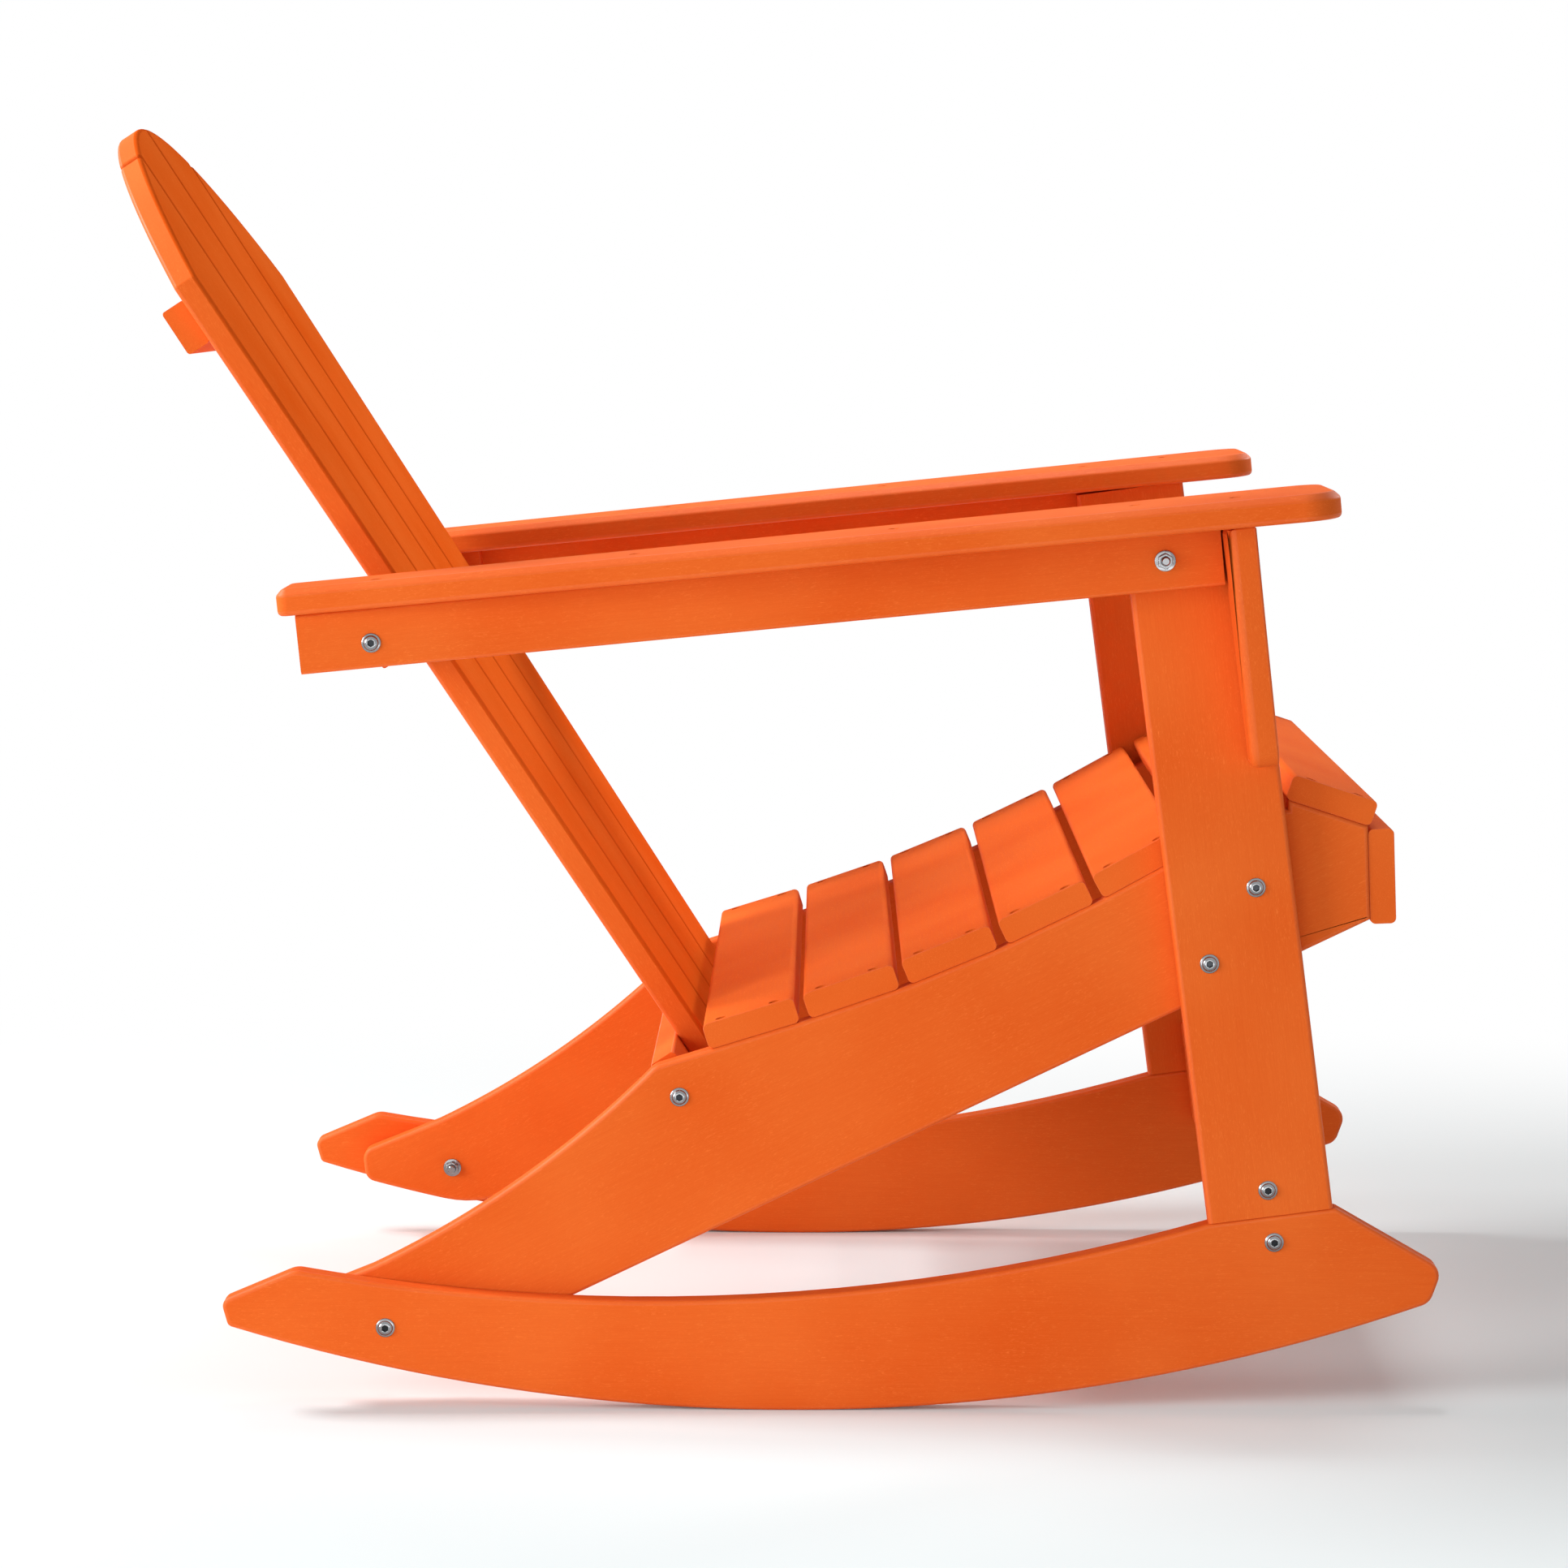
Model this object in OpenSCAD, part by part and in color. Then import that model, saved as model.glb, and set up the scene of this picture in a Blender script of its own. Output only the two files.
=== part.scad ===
// Rocking adirondack chair in coloured poly lumber, bolted and screwed together.
// Millimetres. +Z is up and the sitter faces -Y. The box of the chair is centred on the Z axis,
// and the rockers touch the floor at Z = 0.
// Side views are drawn as (f, z): f runs forward from the point where the rockers touch the floor.

/* [Boards] */
// Width over the outer faces of the two rockers
frame_w = 629; // [580:1:680]
// Thickness of the rocker, leg, side rail and support boards
frame_t = 20; // [17:0.5:22]
// Thickness of the seat, apron and back slats
slat_t = 18.5; // [15:0.5:20]
// Radius on the long edges of the seat slats
slat_edge_r = 4; // [2:0.5:6]

/* [Rockers] */
// Radius of the rolling edge
roll_r = 1360; // [1200:5:1500]
// Reach of the rear tip behind the point of contact
rocker_rear = 407; // [385:1:430]
// Reach of the nose in front of the leg's front corner
rocker_nose_len = 79; // [66:1:92]
// Height of the cut end at the rear tip
rocker_tip_h = 16.5; // [13:0.5:22]
// Length of the ramp from the rear tip up to the shoulder
rocker_ramp = 58; // [45:1:70]
// Slope of that ramp
rocker_ramp_angle = 23; // [18:1:30]
// Depth of the hollow in the upper edge
rocker_hollow = 37.5; // [30:0.5:42]
// Slope of the edge that falls from the leg to the nose
rocker_nose_angle = 30; // [24:1:34]
// Radius of the nose corners
rocker_nose_r = 12; // [6:0.5:13]

/* [Front legs] */
// Width of the leg board
leg_w = 89; // [76:1:95]
// Backward slant of the legs
leg_slant = 7.5; // [5:0.5:10]
// Front lower corner of the leg, in front of the point of contact
leg_foot_f = 387; // [378:1:396]
// Height of the rocker below that corner
rocker_leg_h = 91.8; // [85:0.2:99]
// Width of the hidden block that joins leg and rocker
splice_w = 48; // [42:1:56]
// Height of the hidden block that joins leg and rocker
splice_h = 84; // [70:1:96]
// Distance of the splice bolts from the joint
splice_bolt_gap = 19; // [15:0.5:24]

/* [Side rails] */
// Reach of the rails in front of the leg's front corner
rail_nose = 23.5; // [19:0.5:28]
// Height of the rail's front end
rail_front_h = 67; // [55:1:72]
// Lean of the rail's front end and the apron, lower edge to the front
front_lean = 2.2; // [0:0.2:4]
// Rear tip of the rails, behind the point of contact
rail_rear = 365; // [350:1:375]
// Height of the rail's rounded rear end
rail_tip_h = 24; // [20:1:28]
// Place of the rail's lowest corner, behind the point of contact
rail_foot = 265; // [250:1:280]
// Distance of the rail's rear end inside the rolling edge
rail_inset = 0.5; // [0:0.5:4]
// Length of the straight ramp at the rail's rear end
rail_ramp = 70; // [55:1:85]
// Slope of that ramp
rail_ramp_angle = 22; // [16:1:28]
// Depth of the hollow in the rail's rear edge
rail_hollow = 10.8; // [7:0.2:14]
// Length of the rail's top behind the first seat slat
rail_heel = 41; // [36:1:46]

/* [Seat] */
// Width of the seat slats and the apron
slat_w = 68; // [62:0.5:70]
// Gap between seat slats, along the rail
slat_gap = 7.5; // [5:0.5:8.5]
// Distance of the front slat's rear corner behind the rail's front end
nosing_set = 58.7; // [54:0.1:62]
// Height of the first slat's lower rear corner
seat_z = 258; // [254:0.5:262]
// Height that the front slat sits above the one behind it
nosing_lift = 7.4; // [6.5:0.1:9]
// Amount by which the front slat is narrower than the others
nosing_trim = 4.5; // [0:0.5:8]
// Distance of the slat ends inside the rail's outer face
slat_inset = 2; // [0.5:0.5:4]
// Distance of the apron's top below the rail's top
apron_drop = 2.5; // [2:0.5:6]

/* [Back] */
// Recline of the back from vertical
recline = 33; // [31:0.5:35]
// Gap between the back slats and the rear corner of the first seat slat
heel_gap = 7; // [4:0.5:9]
// Lower end of the back slats, measured up the back from the floor
back_low = 245; // [240:1:252]
// Top of the arch, measured up the back from the floor
back_top = 1085; // [1050:1:1130]
// Rise of the arch from the shoulders to the top
arch_rise = 133; // [110:1:170]
// Width of the back at its lower end
back_low_w = 393; // [360:1:420]
// Width of the back at the shoulders
back_top_w = 520; // [480:1:530]
// Gap between back slats
back_gap = 4; // [2:0.5:8]
// Height of the lower back support
low_support_h = 62; // [54:1:68]
// Top of the lower back support, measured up the back from the floor
low_support_top = 303; // [298:1:306]
// Height of the upper back support
top_support_h = 35; // [28:1:45]
// Lower edge of the upper back support, measured up the back from the floor
top_support_low = 908; // [860:1:920]
// Distance of the upper back support's ends inside the edges of the back
top_support_inset = 8; // [4:1:16]

/* [Arms] */
// Height of the arm's underside above the point of contact
arm_z = 606; // [590:1:620]
// Rise of the arms towards the front
arm_slope = 5.6; // [4:0.2:7]
// Reach of the arms behind the bolts of the middle back support
arm_tail = 65.2; // [58:0.2:78]
// Reach of the arms in front of the bracket
arm_nose = 60; // [45:1:75]
// Thickness of the arms
arm_t = 19; // [16:0.5:22]
// Distance of the arm's inner edge inside the rocker's outer face
arm_set = 46.5; // [42.5:0.5:50.5]
// Width of the arm at its rear end
arm_rear_w = 72; // [70:1:84]
// Width of the arm at its front end
arm_front_w = 132.5; // [120:1:150]
// Radius of the arm's front corners
arm_front_r = 26; // [12:1:34]
// Radius of the arm's rear corners
arm_rear_r = 9; // [4:1:16]
// Height of the support board under each arm, and of the middle back support
support_h = 42; // [38:1:46]
// Distance of the support's rear end from the arm's rear end
support_set = 12; // [6:1:18]
// Height of the bracket at the front of each leg
bracket_h = 171; // [140:1:190]
// Reach of the bracket at its top
bracket_top_w = 66; // [50:1:68]
// Reach of the bracket at its lower end
bracket_low_w = 30; // [24:1:36]
// Length of the spacer block between arm support and middle back support
spacer_len = 68; // [60:1:76]

/* [Fasteners] */
// Diameter of the bolts
bolt_d = 6; // [5:0.5:7]
// Diameter of the flange under the bolt head
bolt_flange_d = 13.6; // [12.5:0.1:15]
// Width across the flats of the nuts
nut_af = 10; // [9:0.5:11]
// Outer diameter of the washers
washer_d = 14.8; // [13.5:0.1:16]
// Diameter of the screw heads
screw_head_d = 8; // [7:0.5:9]
// Diameter of the screw shanks
screw_d = 4.2; // [3.5:0.1:5]
// Depth of the screw heads below the surface of the board
screw_sink = 1.6; // [0.5:0.1:2.5]

/* [Hidden] */
// Running clearance between boards that meet edge to edge
board_clear = 0.3;
// Clearance round bolts and screws, on the diameter
hole_clear = 0.5;
// Overrun of every cut
cut_over = 1;

// Number of seat slats, and the tilt of each one from rear to front
seat_tilts = [17.2, 19, 22.5, 25.8, 29, 24, -18];
seat_count = len(seat_tilts);
nosing = seat_count - 1;
back_count = 4;

// Steps along curves
edge_steps = 40;
hollow_steps = 22;
corner_steps = 7;
arch_steps = 10;
round_fn = 48;

orange = "#EC6A2C";
steel = "silver";

half_w = frame_w / 2;
leg_in = half_w - frame_t;
rail_in = leg_in - frame_t;
support_out = half_w + frame_t;
rail_mid = rail_in + frame_t / 2;
arm_inner = half_w - arm_set;

// Outline helpers

function unit(v) = v / norm(v);
function along(angle) = [cos(angle), sin(angle)];
function sum_to(list, i) = i < 0 ? 0 : list[i] + sum_to(list, i - 1);

// Corner point p with a round of radius r, between its neighbours a and b
function corner(p, a, b, r) =
    let (u = unit(a - p), v = unit(b - p), half = acos(u * v) / 2)
    let (c = p + unit(u + v) * r / sin(half))
    let (s = p + u * r / tan(half) - c, e = p + v * r / tan(half) - c)
    let (from = atan2(s.y, s.x), turn = atan2(s.x * e.y - s.y * e.x, s * e))
    [for (i = [0:corner_steps]) c + r * along(from + turn * i / corner_steps)];

// Closed outline from points [x, y, r], each with its own corner radius
function rounded(pts) =
    let (n = len(pts), flat = [for (p = pts) [p.x, p.y]])
    [for (i = [0:n - 1], q = pts[i].z > 0
        ? corner(flat[i], flat[(i + n - 1) % n], flat[(i + 1) % n], pts[i].z)
        : [flat[i]]) q];

// Inner points of the arc from p to q that bulges by sag to the right of the way from p to q
function bow(p, q, sag, steps) =
    let (d = norm(q - p), r = (d * d / 4 + sag * sag) / (2 * sag), u = unit(q - p))
    let (c = (p + q) / 2 + [-u.y, u.x] * (r - sag), s = p - c)
    let (from = atan2(s.y, s.x), turn = 2 * asin(d / 2 / r))
    [for (i = [1:steps - 1]) let (w = c + abs(r) * along(from + turn * i / steps)) [w.x, w.y, 0]];

// Height of the rolling edge, or of an edge that lies inside it
function roll_z(f, inset) = roll_r - sqrt(pow(roll_r - inset, 2) - f * f);
function roll_edge(from, to, inset, steps) =
    [for (i = [1:steps - 1]) let (f = from + (to - from) * i / steps) [f, roll_z(f, inset), 0]];

// Frames of the leg, the back and the arm, in the side view

leg_foot_z = roll_z(leg_foot_f, 0) + rocker_leg_h;
rail_front = leg_foot_f + rail_nose;

function leg_pt(x, y) = [leg_foot_f, leg_foot_z] + x * along(leg_slant) + y * along(leg_slant + 90);
function back_pt(n, s) = [back_foot, 0] + s * along(recline + 90) + n * along(recline);
function arm_pt(u, v) =
    [-arm_rear, arm_z - arm_rear * tan(arm_slope)] + u * along(arm_slope) + v * along(arm_slope + 90);

leg_len = (arm_z + tan(arm_slope) * leg_foot_f - leg_foot_z)
    / (cos(leg_slant) + tan(arm_slope) * sin(leg_slant)) - board_clear;

// Seat: lower rear corner of each slat, in a chain along the rails
function seat_step(i) =
    slat_w * along(seat_tilts[i]) + slat_gap * along((seat_tilts[i] + seat_tilts[i + 1]) / 2);
function seat_chain(i) =
    i == 0 ? [0, 0]
    : i == nosing ? seat_chain(i - 1) + slat_w * along(seat_tilts[i - 1]) + [0, nosing_lift]
    : seat_chain(i - 1) + seat_step(i - 1);
seat_from = [rail_front - nosing_set - seat_chain(nosing).x, seat_z];
function seat_pt(i) = seat_from + seat_chain(i);
function seat_w(i) = i == nosing ? slat_w - nosing_trim : slat_w;
function seat_end(i) = seat_pt(i) + seat_w(i) * along(seat_tilts[i]);

// Where the rear plane of the back slats would meet the floor
back_foot = seat_from.x - heel_gap + tan(recline) * seat_z - slat_t / cos(recline);

nosing_notch = 1.8;
nosing_pt = seat_pt(nosing);
function nosing_z(f) = nosing_pt.y + (f - nosing_pt.x) * tan(seat_tilts[nosing]);
rail_top = [rail_front, nosing_z(rail_front)];
apron_angle = front_lean - 90;

// Rocker

rocker_tip_lean = 5;
rocker_tip_r = 7;
rocker_foot_r = 5;
rocker_shoulder_r = 16;
rocker_lip = 2;
rocker_nose_lean = 9;

rocker_low_rear = [-rocker_rear + rocker_tip_lean, roll_z(-rocker_rear + rocker_tip_lean, 0)];
rocker_tip = [-rocker_rear, roll_z(rocker_rear, 0) + rocker_tip_h];
rocker_shoulder = rocker_tip + rocker_ramp * along(rocker_ramp_angle);
rocker_front = leg_foot_f + rocker_nose_len;
rocker_brow = leg_pt(rocker_lip, 0);
rocker_nose = [rocker_front, rocker_brow.y - (rocker_front - rocker_brow.x) * tan(rocker_nose_angle)];
rocker_low_front = [rocker_front - rocker_nose_lean, roll_z(rocker_front - rocker_nose_lean, 0)];

function with_r(p, r) = [p.x, p.y, r];

rocker_outline = rounded(concat(
    [with_r(rocker_low_rear, rocker_foot_r)],
    roll_edge(rocker_low_rear.x, rocker_low_front.x, 0, edge_steps),
    [with_r(rocker_low_front, rocker_nose_r), with_r(rocker_nose, rocker_nose_r)],
    [with_r(rocker_brow, rocker_foot_r), with_r(leg_pt(-leg_w, 0), 0)],
    bow(leg_pt(-leg_w, 0), rocker_shoulder, -rocker_hollow, hollow_steps),
    [with_r(rocker_shoulder, rocker_shoulder_r), with_r(rocker_tip, rocker_tip_r)]));

// Side rail

rail_tip_lean = 3;
rail_tip_r = 10;
rail_foot_r = 90;
rail_foot_run = 38;
rail_ramp_r = 60;
rail_heel_r = 14;
rail_end_r = 2;

rail_low_tip = [-rail_rear + rail_tip_lean, roll_z(rail_rear - rail_tip_lean, rail_inset)];
rail_tip = [-rail_rear, rail_low_tip.y + rail_tip_h];
rail_ramp_pt = rail_tip + rail_ramp * along(rail_ramp_angle);
rail_foot_pt = [-rail_foot, roll_z(rail_foot, rail_inset)];
rail_sole_pt = [-rail_foot - rail_foot_run, roll_z(rail_foot + rail_foot_run, rail_inset)];
rail_heel_pt = seat_pt(0) - rail_heel * along(seat_tilts[0]);
rail_low_front = rail_top + rail_front_h * along(apron_angle);
rail_rise = (rail_low_front.y - rail_foot_pt.y) / (rail_low_front.x - rail_foot_pt.x);

rail_outline = rounded(concat(
    [with_r(rail_low_tip, rail_tip_r)],
    roll_edge(rail_low_tip.x, rail_sole_pt.x, rail_inset, corner_steps),
    [with_r(rail_sole_pt, 0), with_r(rail_foot_pt, rail_foot_r)],
    [with_r(rail_low_front, rail_end_r), with_r(rail_top, 0)],
    [for (f = [seat_end(nosing - 1).x + nosing_notch]) [f, nosing_z(f), 0]],
    [with_r(seat_end(nosing - 1) + [nosing_notch, 0], 0)],
    [for (k = [nosing - 1:-1:0], p = [seat_end(k), seat_pt(k)]) with_r(p, 0)],
    [with_r(rail_heel_pt, rail_heel_r)],
    bow(rail_heel_pt, rail_ramp_pt, -rail_hollow, hollow_steps),
    [with_r(rail_ramp_pt, 0), with_r(rail_tip, rail_tip_r)]));

// Back: width, arch and supports

arch_low = back_top - arch_rise;
arch_r = (pow(back_top_w / 2, 2) + arch_rise * arch_rise) / (2 * arch_rise);
function back_half(s) =
    (back_low_w + (back_top_w - back_low_w) * (s - back_low) / (arch_low - back_low)) / 2;
function arch_s(x) = back_top - arch_r + sqrt(arch_r * arch_r - x * x);

mid_support_top = (arm_z + tan(arm_slope) * back_foot)
    / (1 + tan(arm_slope) * tan(recline)) / cos(recline) - board_clear;
mid_support_low = mid_support_top - support_h;
support_bolt_set = 12;
low_bolt_drop = 28;
mid_bolt = back_pt(-support_bolt_set, mid_support_top - support_h / 2);
arm_rear = arm_tail - mid_bolt.x;
low_bolt = back_pt(-support_bolt_set, low_support_top - low_bolt_drop);

// Bolt places in the side view
rear_bolt_set = 76;
rear_bolt_rise = 29;
leg_bolt_sets = [66, 27];
leg_bolt_rises = [25.5, 62.5];
splice_mid = -leg_w / 2;
splice_set = -9;
arm_bolt_share = 0.71;

// Height on the leg, at the distance x from its front edge, where the rail's lower edge crosses it
function rail_on_leg(x) =
    (rail_low_front.y - leg_foot_z - x * sin(leg_slant)
        + (leg_foot_f + x * cos(leg_slant) - rail_low_front.x) * rail_rise)
    / (cos(leg_slant) + rail_rise * sin(leg_slant));
function leg_bolt(i) = leg_pt(-leg_bolt_sets[i], rail_on_leg(-leg_bolt_sets[i]) + leg_bolt_rises[i]);
// Distance along the arm of a place given in the side view
function arm_u(p) = (p - arm_pt(0, 0)) * along(arm_slope);

rear_bolt = [rear_bolt_set - rail_rear, roll_z(rail_rear - rear_bolt_set, 0) + rear_bolt_rise];
leg_bolts = [leg_bolt(0), leg_bolt(1)];
splice_bolts = [leg_pt(splice_mid, splice_bolt_gap), leg_pt(splice_mid, -splice_bolt_gap)];
arm_bolt = arm_pt(arm_u(leg_pt(-leg_w * arm_bolt_share, leg_len)), -support_h / 2);

// The chair's box is centred on the origin
reach_front = max([for (p = rocker_outline) p.x]);
reach_rear = min(min([for (p = rocker_outline) p.x]), back_pt(0, arch_s(back_gap / 2)).x);
f_mid = (reach_front + reach_rear) / 2;

// Placing helpers. Right is the sitter's right, at -X; the left side is its mirror image.

module side(left) {
    mirror([left ? 1 : 0, 0, 0])
        children();
}

// Plate drawn in the side view, from its inner face at x outwards
module plate(x, t) {
    translate([-x, f_mid, 0])
        rotate([90, 0, -90])
            linear_extrude(height = t)
                children();
}

// Puts a shape that runs along +Z at the place p, running inwards from x
module inwards(p, x) {
    translate([-x, f_mid - p.x, p.y])
        rotate([0, 90, 0])
            children();
}

// Stands a shape on a board's surface at the place p, with its own Z along the angle given
module standing(p, x, angle) {
    translate([x, f_mid - p.x, p.y])
        rotate([90 - angle, 0, 0])
            children();
}

// Frame of the back: X across, Y up the back, Z out of the slats' rear plane towards the sitter
module back_frame(n) {
    translate([0, f_mid - back_pt(n, 0).x, back_pt(n, 0).y])
        rotate([90 - recline, 0, 0])
            children();
}

// Fasteners

bolt_head_d = 10.4;
bolt_flange_t = 1.2;
bolt_head_h = 3.4;
bolt_crown_d = 6.4;
socket_af = 4;
socket_depth = 2;
nut_h = 5;
washer_t = 1.4;
bolt_tail = 3;
insert_d = 9;
insert_len = 24;
insert_grip = 22;
screw_cone_h = 2.4;
screw_len = 36;
screw_bore = screw_d + hole_clear;
screw_seat_d = screw_head_d + hole_clear;
bolt_bore = bolt_d + hole_clear;

// Flanged button-head bolt with its seat at Z = 0, its head below and its shank above
module bolt(length) {
    difference() {
        union() {
            rotate_extrude($fn = round_fn)
                polygon([[0, 0], [bolt_flange_d / 2, 0], [bolt_flange_d / 2, -bolt_flange_t],
                    [bolt_head_d / 2, -bolt_flange_t], [bolt_crown_d / 2, -bolt_head_h], [0, -bolt_head_h]]);
            cylinder(d = bolt_d, h = length, $fn = round_fn);
        }
        translate([0, 0, -bolt_head_h - cut_over])
            cylinder(d = socket_af / cos(30), h = socket_depth + cut_over, $fn = 6);
    }
}

module washer() {
    difference() {
        cylinder(d = washer_d, h = washer_t, $fn = round_fn);
        translate([0, 0, -cut_over])
            cylinder(d = bolt_bore, h = washer_t + 2 * cut_over, $fn = round_fn);
    }
}

module nut() {
    difference() {
        cylinder(d = nut_af / cos(30), h = nut_h, $fn = 6);
        translate([0, 0, -cut_over])
            cylinder(d = bolt_d, h = nut_h + 2 * cut_over, $fn = round_fn);
    }
}

module insert() {
    difference() {
        cylinder(d = insert_d, h = insert_len, $fn = round_fn);
        translate([0, 0, -cut_over])
            cylinder(d = bolt_d, h = insert_len - cut_over, $fn = round_fn);
    }
}

// Countersunk screw that points down from a surface at Z = 0, with its head sunk in the board
module screw() {
    rotate_extrude($fn = round_fn)
        polygon([[0, -screw_sink], [screw_head_d / 2, -screw_sink],
            [screw_d / 2, -screw_sink - screw_cone_h], [screw_d / 2, -screw_len], [0, -screw_len]]);
}

// The hole of that screw: its head bears on the cone, and its shank fills the bore or has room in it
module screw_hole(bore) {
    room = (bore - screw_d) / 2 * screw_cone_h / (screw_head_d - screw_d) * 2;
    brim = hole_clear / 2 * screw_cone_h / (screw_head_d - screw_d) * 2;
    rotate_extrude($fn = round_fn)
        polygon([[0, cut_over], [screw_seat_d / 2, cut_over], [screw_seat_d / 2, brim - screw_sink],
            [bore / 2, room - screw_sink - screw_cone_h], [bore / 2, -screw_len], [0, -screw_len]]);
}

// Bolt hole through every board of one side
module bolt_hole(p) {
    inwards(p, support_out + cut_over)
        cylinder(d = bolt_bore, h = support_out - rail_in + 2 * cut_over, $fn = round_fn);
}

// Screw patterns

right_end = [-rail_mid];
both_ends = [-rail_mid, rail_mid];
seat_screw_inset = 14;
apron_screw_set = 14;

module seat_screws_at(k, ends) {
    for (x = ends, w = [seat_screw_inset, seat_w(k) - seat_screw_inset])
        standing(seat_pt(k) + w * along(seat_tilts[k]) + slat_t * along(seat_tilts[k] + 90), x, seat_tilts[k] + 90)
            children();
}

module apron_screws_at(ends) {
    for (x = ends, drop = [apron_screw_set, slat_w - apron_screw_set])
        standing(rail_top + (apron_drop + drop) * along(apron_angle) + slat_t * along(front_lean), x, front_lean)
            children();
}

// Screws through a back support: two for each slat, driven from behind
back_screw_share = 0.27;
module back_screws_at(s, t, slats) {
    for (k = slats, side = [-1, 1])
        translate([back_half(s) * (2 * (k + 0.5 + side * back_screw_share) / back_count - 1), s, -t])
            rotate([180, 0, 0])
                children();
}

// Screws through the arm: along the support board, and one into the bracket
bracket_front = -2;
support_front = arm_u(leg_pt(bracket_front - frame_t, leg_len));
bracket_mid_u = arm_u(leg_pt(bracket_front - frame_t / 2, leg_len));
arm_len = arm_u(leg_pt(bracket_front, leg_len)) + arm_nose;
arm_screw_shares = [0.09, 0.37, 0.65, 0.91];
module arm_screws_at() {
    for (share = arm_screw_shares)
        standing(arm_pt(support_set + share * (support_front - support_set), arm_t),
            -half_w - frame_t / 2, arm_slope + 90)
            children();
    standing(arm_pt(bracket_mid_u, arm_t), -half_w - bracket_top_w / 2, arm_slope + 90)
        children();
}

bracket_screw_drops = [40, 120];
module bracket_screws_at() {
    for (drop = bracket_screw_drops) {
        p = leg_pt(bracket_front - frame_t / 2, leg_len - drop);
        translate([-leg_in, f_mid - p.x, p.y])
            rotate([0, 90, 0])
                children();
    }
}

// Boards

module rocker(left) {
    color(orange) side(left) difference() {
        plate(leg_in, frame_t)
            polygon(rocker_outline);
        bolt_hole(rear_bolt);
        bolt_hole(splice_bolts[1]);
    }
}

module front_leg(left) {
    color(orange) side(left) difference() {
        plate(leg_in, frame_t)
            polygon([leg_pt(0, 0), leg_pt(0, leg_len), leg_pt(-leg_w, leg_len), leg_pt(-leg_w, 0)]);
        bolt_hole(splice_bolts[0]);
        bolt_hole(arm_bolt);
        for (p = leg_bolts)
            bolt_hole(p);
        bracket_screws_at()
            screw_hole(screw_bore);
    }
}

module leg_splice(left) {
    color(orange) side(left) difference() {
        plate(rail_in, frame_t)
            polygon(rounded([
                with_r(leg_pt(splice_set, -splice_h / 2), rail_end_r),
                with_r(leg_pt(splice_set, splice_h / 2), rail_end_r),
                with_r(leg_pt(splice_set - splice_w, splice_h / 2), rail_end_r),
                with_r(leg_pt(splice_set - splice_w, -splice_h / 2), rail_end_r)]));
        for (p = splice_bolts)
            bolt_hole(p);
    }
}

module side_rail(left) {
    color(orange) side(left) difference() {
        plate(rail_in, frame_t)
            polygon(rail_outline);
        bolt_hole(rear_bolt);
        bolt_hole(low_bolt);
        for (p = leg_bolts)
            bolt_hole(p);
        for (k = [0:nosing])
            seat_screws_at(k, right_end)
                screw_hole(screw_d);
        apron_screws_at(right_end)
            screw_hole(screw_d);
    }
}

// Slat section with rounded corners, drawn from its lower rear corner
module slat_section(width) {
    r = min(slat_edge_r, slat_t / 2);
    polygon(rounded([[0, 0, r], [width, 0, r], [width, slat_t, r], [0, slat_t, r]]));
}

slat_half = leg_in - slat_inset;

// Slat that runs across the chair, with its lower rear corner at p and its width along the angle
module cross_slat(p, angle, width) {
    translate([-slat_half, f_mid - p.x, p.y])
        rotate([90, 0, -90])
            rotate([0, 0, angle])
                translate([0, 0, -2 * slat_half])
                    linear_extrude(height = 2 * slat_half)
                        slat_section(width);
}

module seat_slat(k) {
    color(orange) difference() {
        cross_slat(seat_pt(k), seat_tilts[k], seat_w(k));
        seat_screws_at(k, both_ends)
            screw_hole(screw_bore);
    }
}

module front_apron() {
    color(orange) difference() {
        cross_slat(rail_top + apron_drop * along(apron_angle), apron_angle, slat_w);
        apron_screws_at(both_ends)
            screw_hole(screw_bore);
    }
}

// Back slat k: tapered towards the seat, its top end cut to the arch
back_edge_r = 3;
back_foot_r = 3;
function back_edge(k, s) = back_half(s) * (2 * k / back_count - 1);
function back_side(k, s, gap_side) =
    back_edge(k, s) + (k == 0 || k == back_count ? 0 : gap_side * back_gap / 2);
function back_top_s(x) = arch_s(min(abs(x), back_top_w / 2));

module back_slat(k) {
    x0 = back_side(k, arch_low, 1);
    x1 = back_side(k + 1, arch_low, -1);
    top = [for (i = [1:arch_steps - 1]) let (x = x1 + (x0 - x1) * i / arch_steps) [x, back_top_s(x), 0]];
    outline = rounded(concat(
        [[back_side(k, back_low, 1), back_low, back_foot_r], [back_side(k + 1, back_low, -1), back_low, back_foot_r]],
        [[x1, back_top_s(x1), back_edge_r]], top, [[x0, back_top_s(x0), back_edge_r]]));
    color(orange) difference() {
        back_frame(0)
            linear_extrude(height = slat_t)
                polygon(outline);
        back_frame(0)
            for (row = back_rows)
                back_screws_at(row[0], row[1], [k])
                    screw_hole(screw_d);
    }
}

low_screw_s = low_support_top - low_support_h / 2;
mid_screw_s = mid_support_top - support_h / 2;
top_screw_s = top_support_low + top_support_h / 2;

// Rows of back screws: height up the back and thickness of the support
back_rows = [[low_screw_s, frame_t], [mid_screw_s, frame_t], [top_screw_s, slat_t]];
all_slats = [0:back_count - 1];

// Board behind the slats, from s up by h, with its ends at plus and minus half
module back_support(s, h, half, t) {
    difference() {
        back_frame(-t)
            translate([-half, s, 0])
                cube([2 * half, h, t]);
        back_frame(0)
            back_screws_at(s + h / 2, t, all_slats)
                screw_hole(screw_bore);
    }
}

module insert_holes(p, x) {
    for (left = [false, true])
        side(left)
            inwards(p, x + cut_over)
                cylinder(d = insert_d, h = insert_len + cut_over, $fn = round_fn);
}

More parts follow.
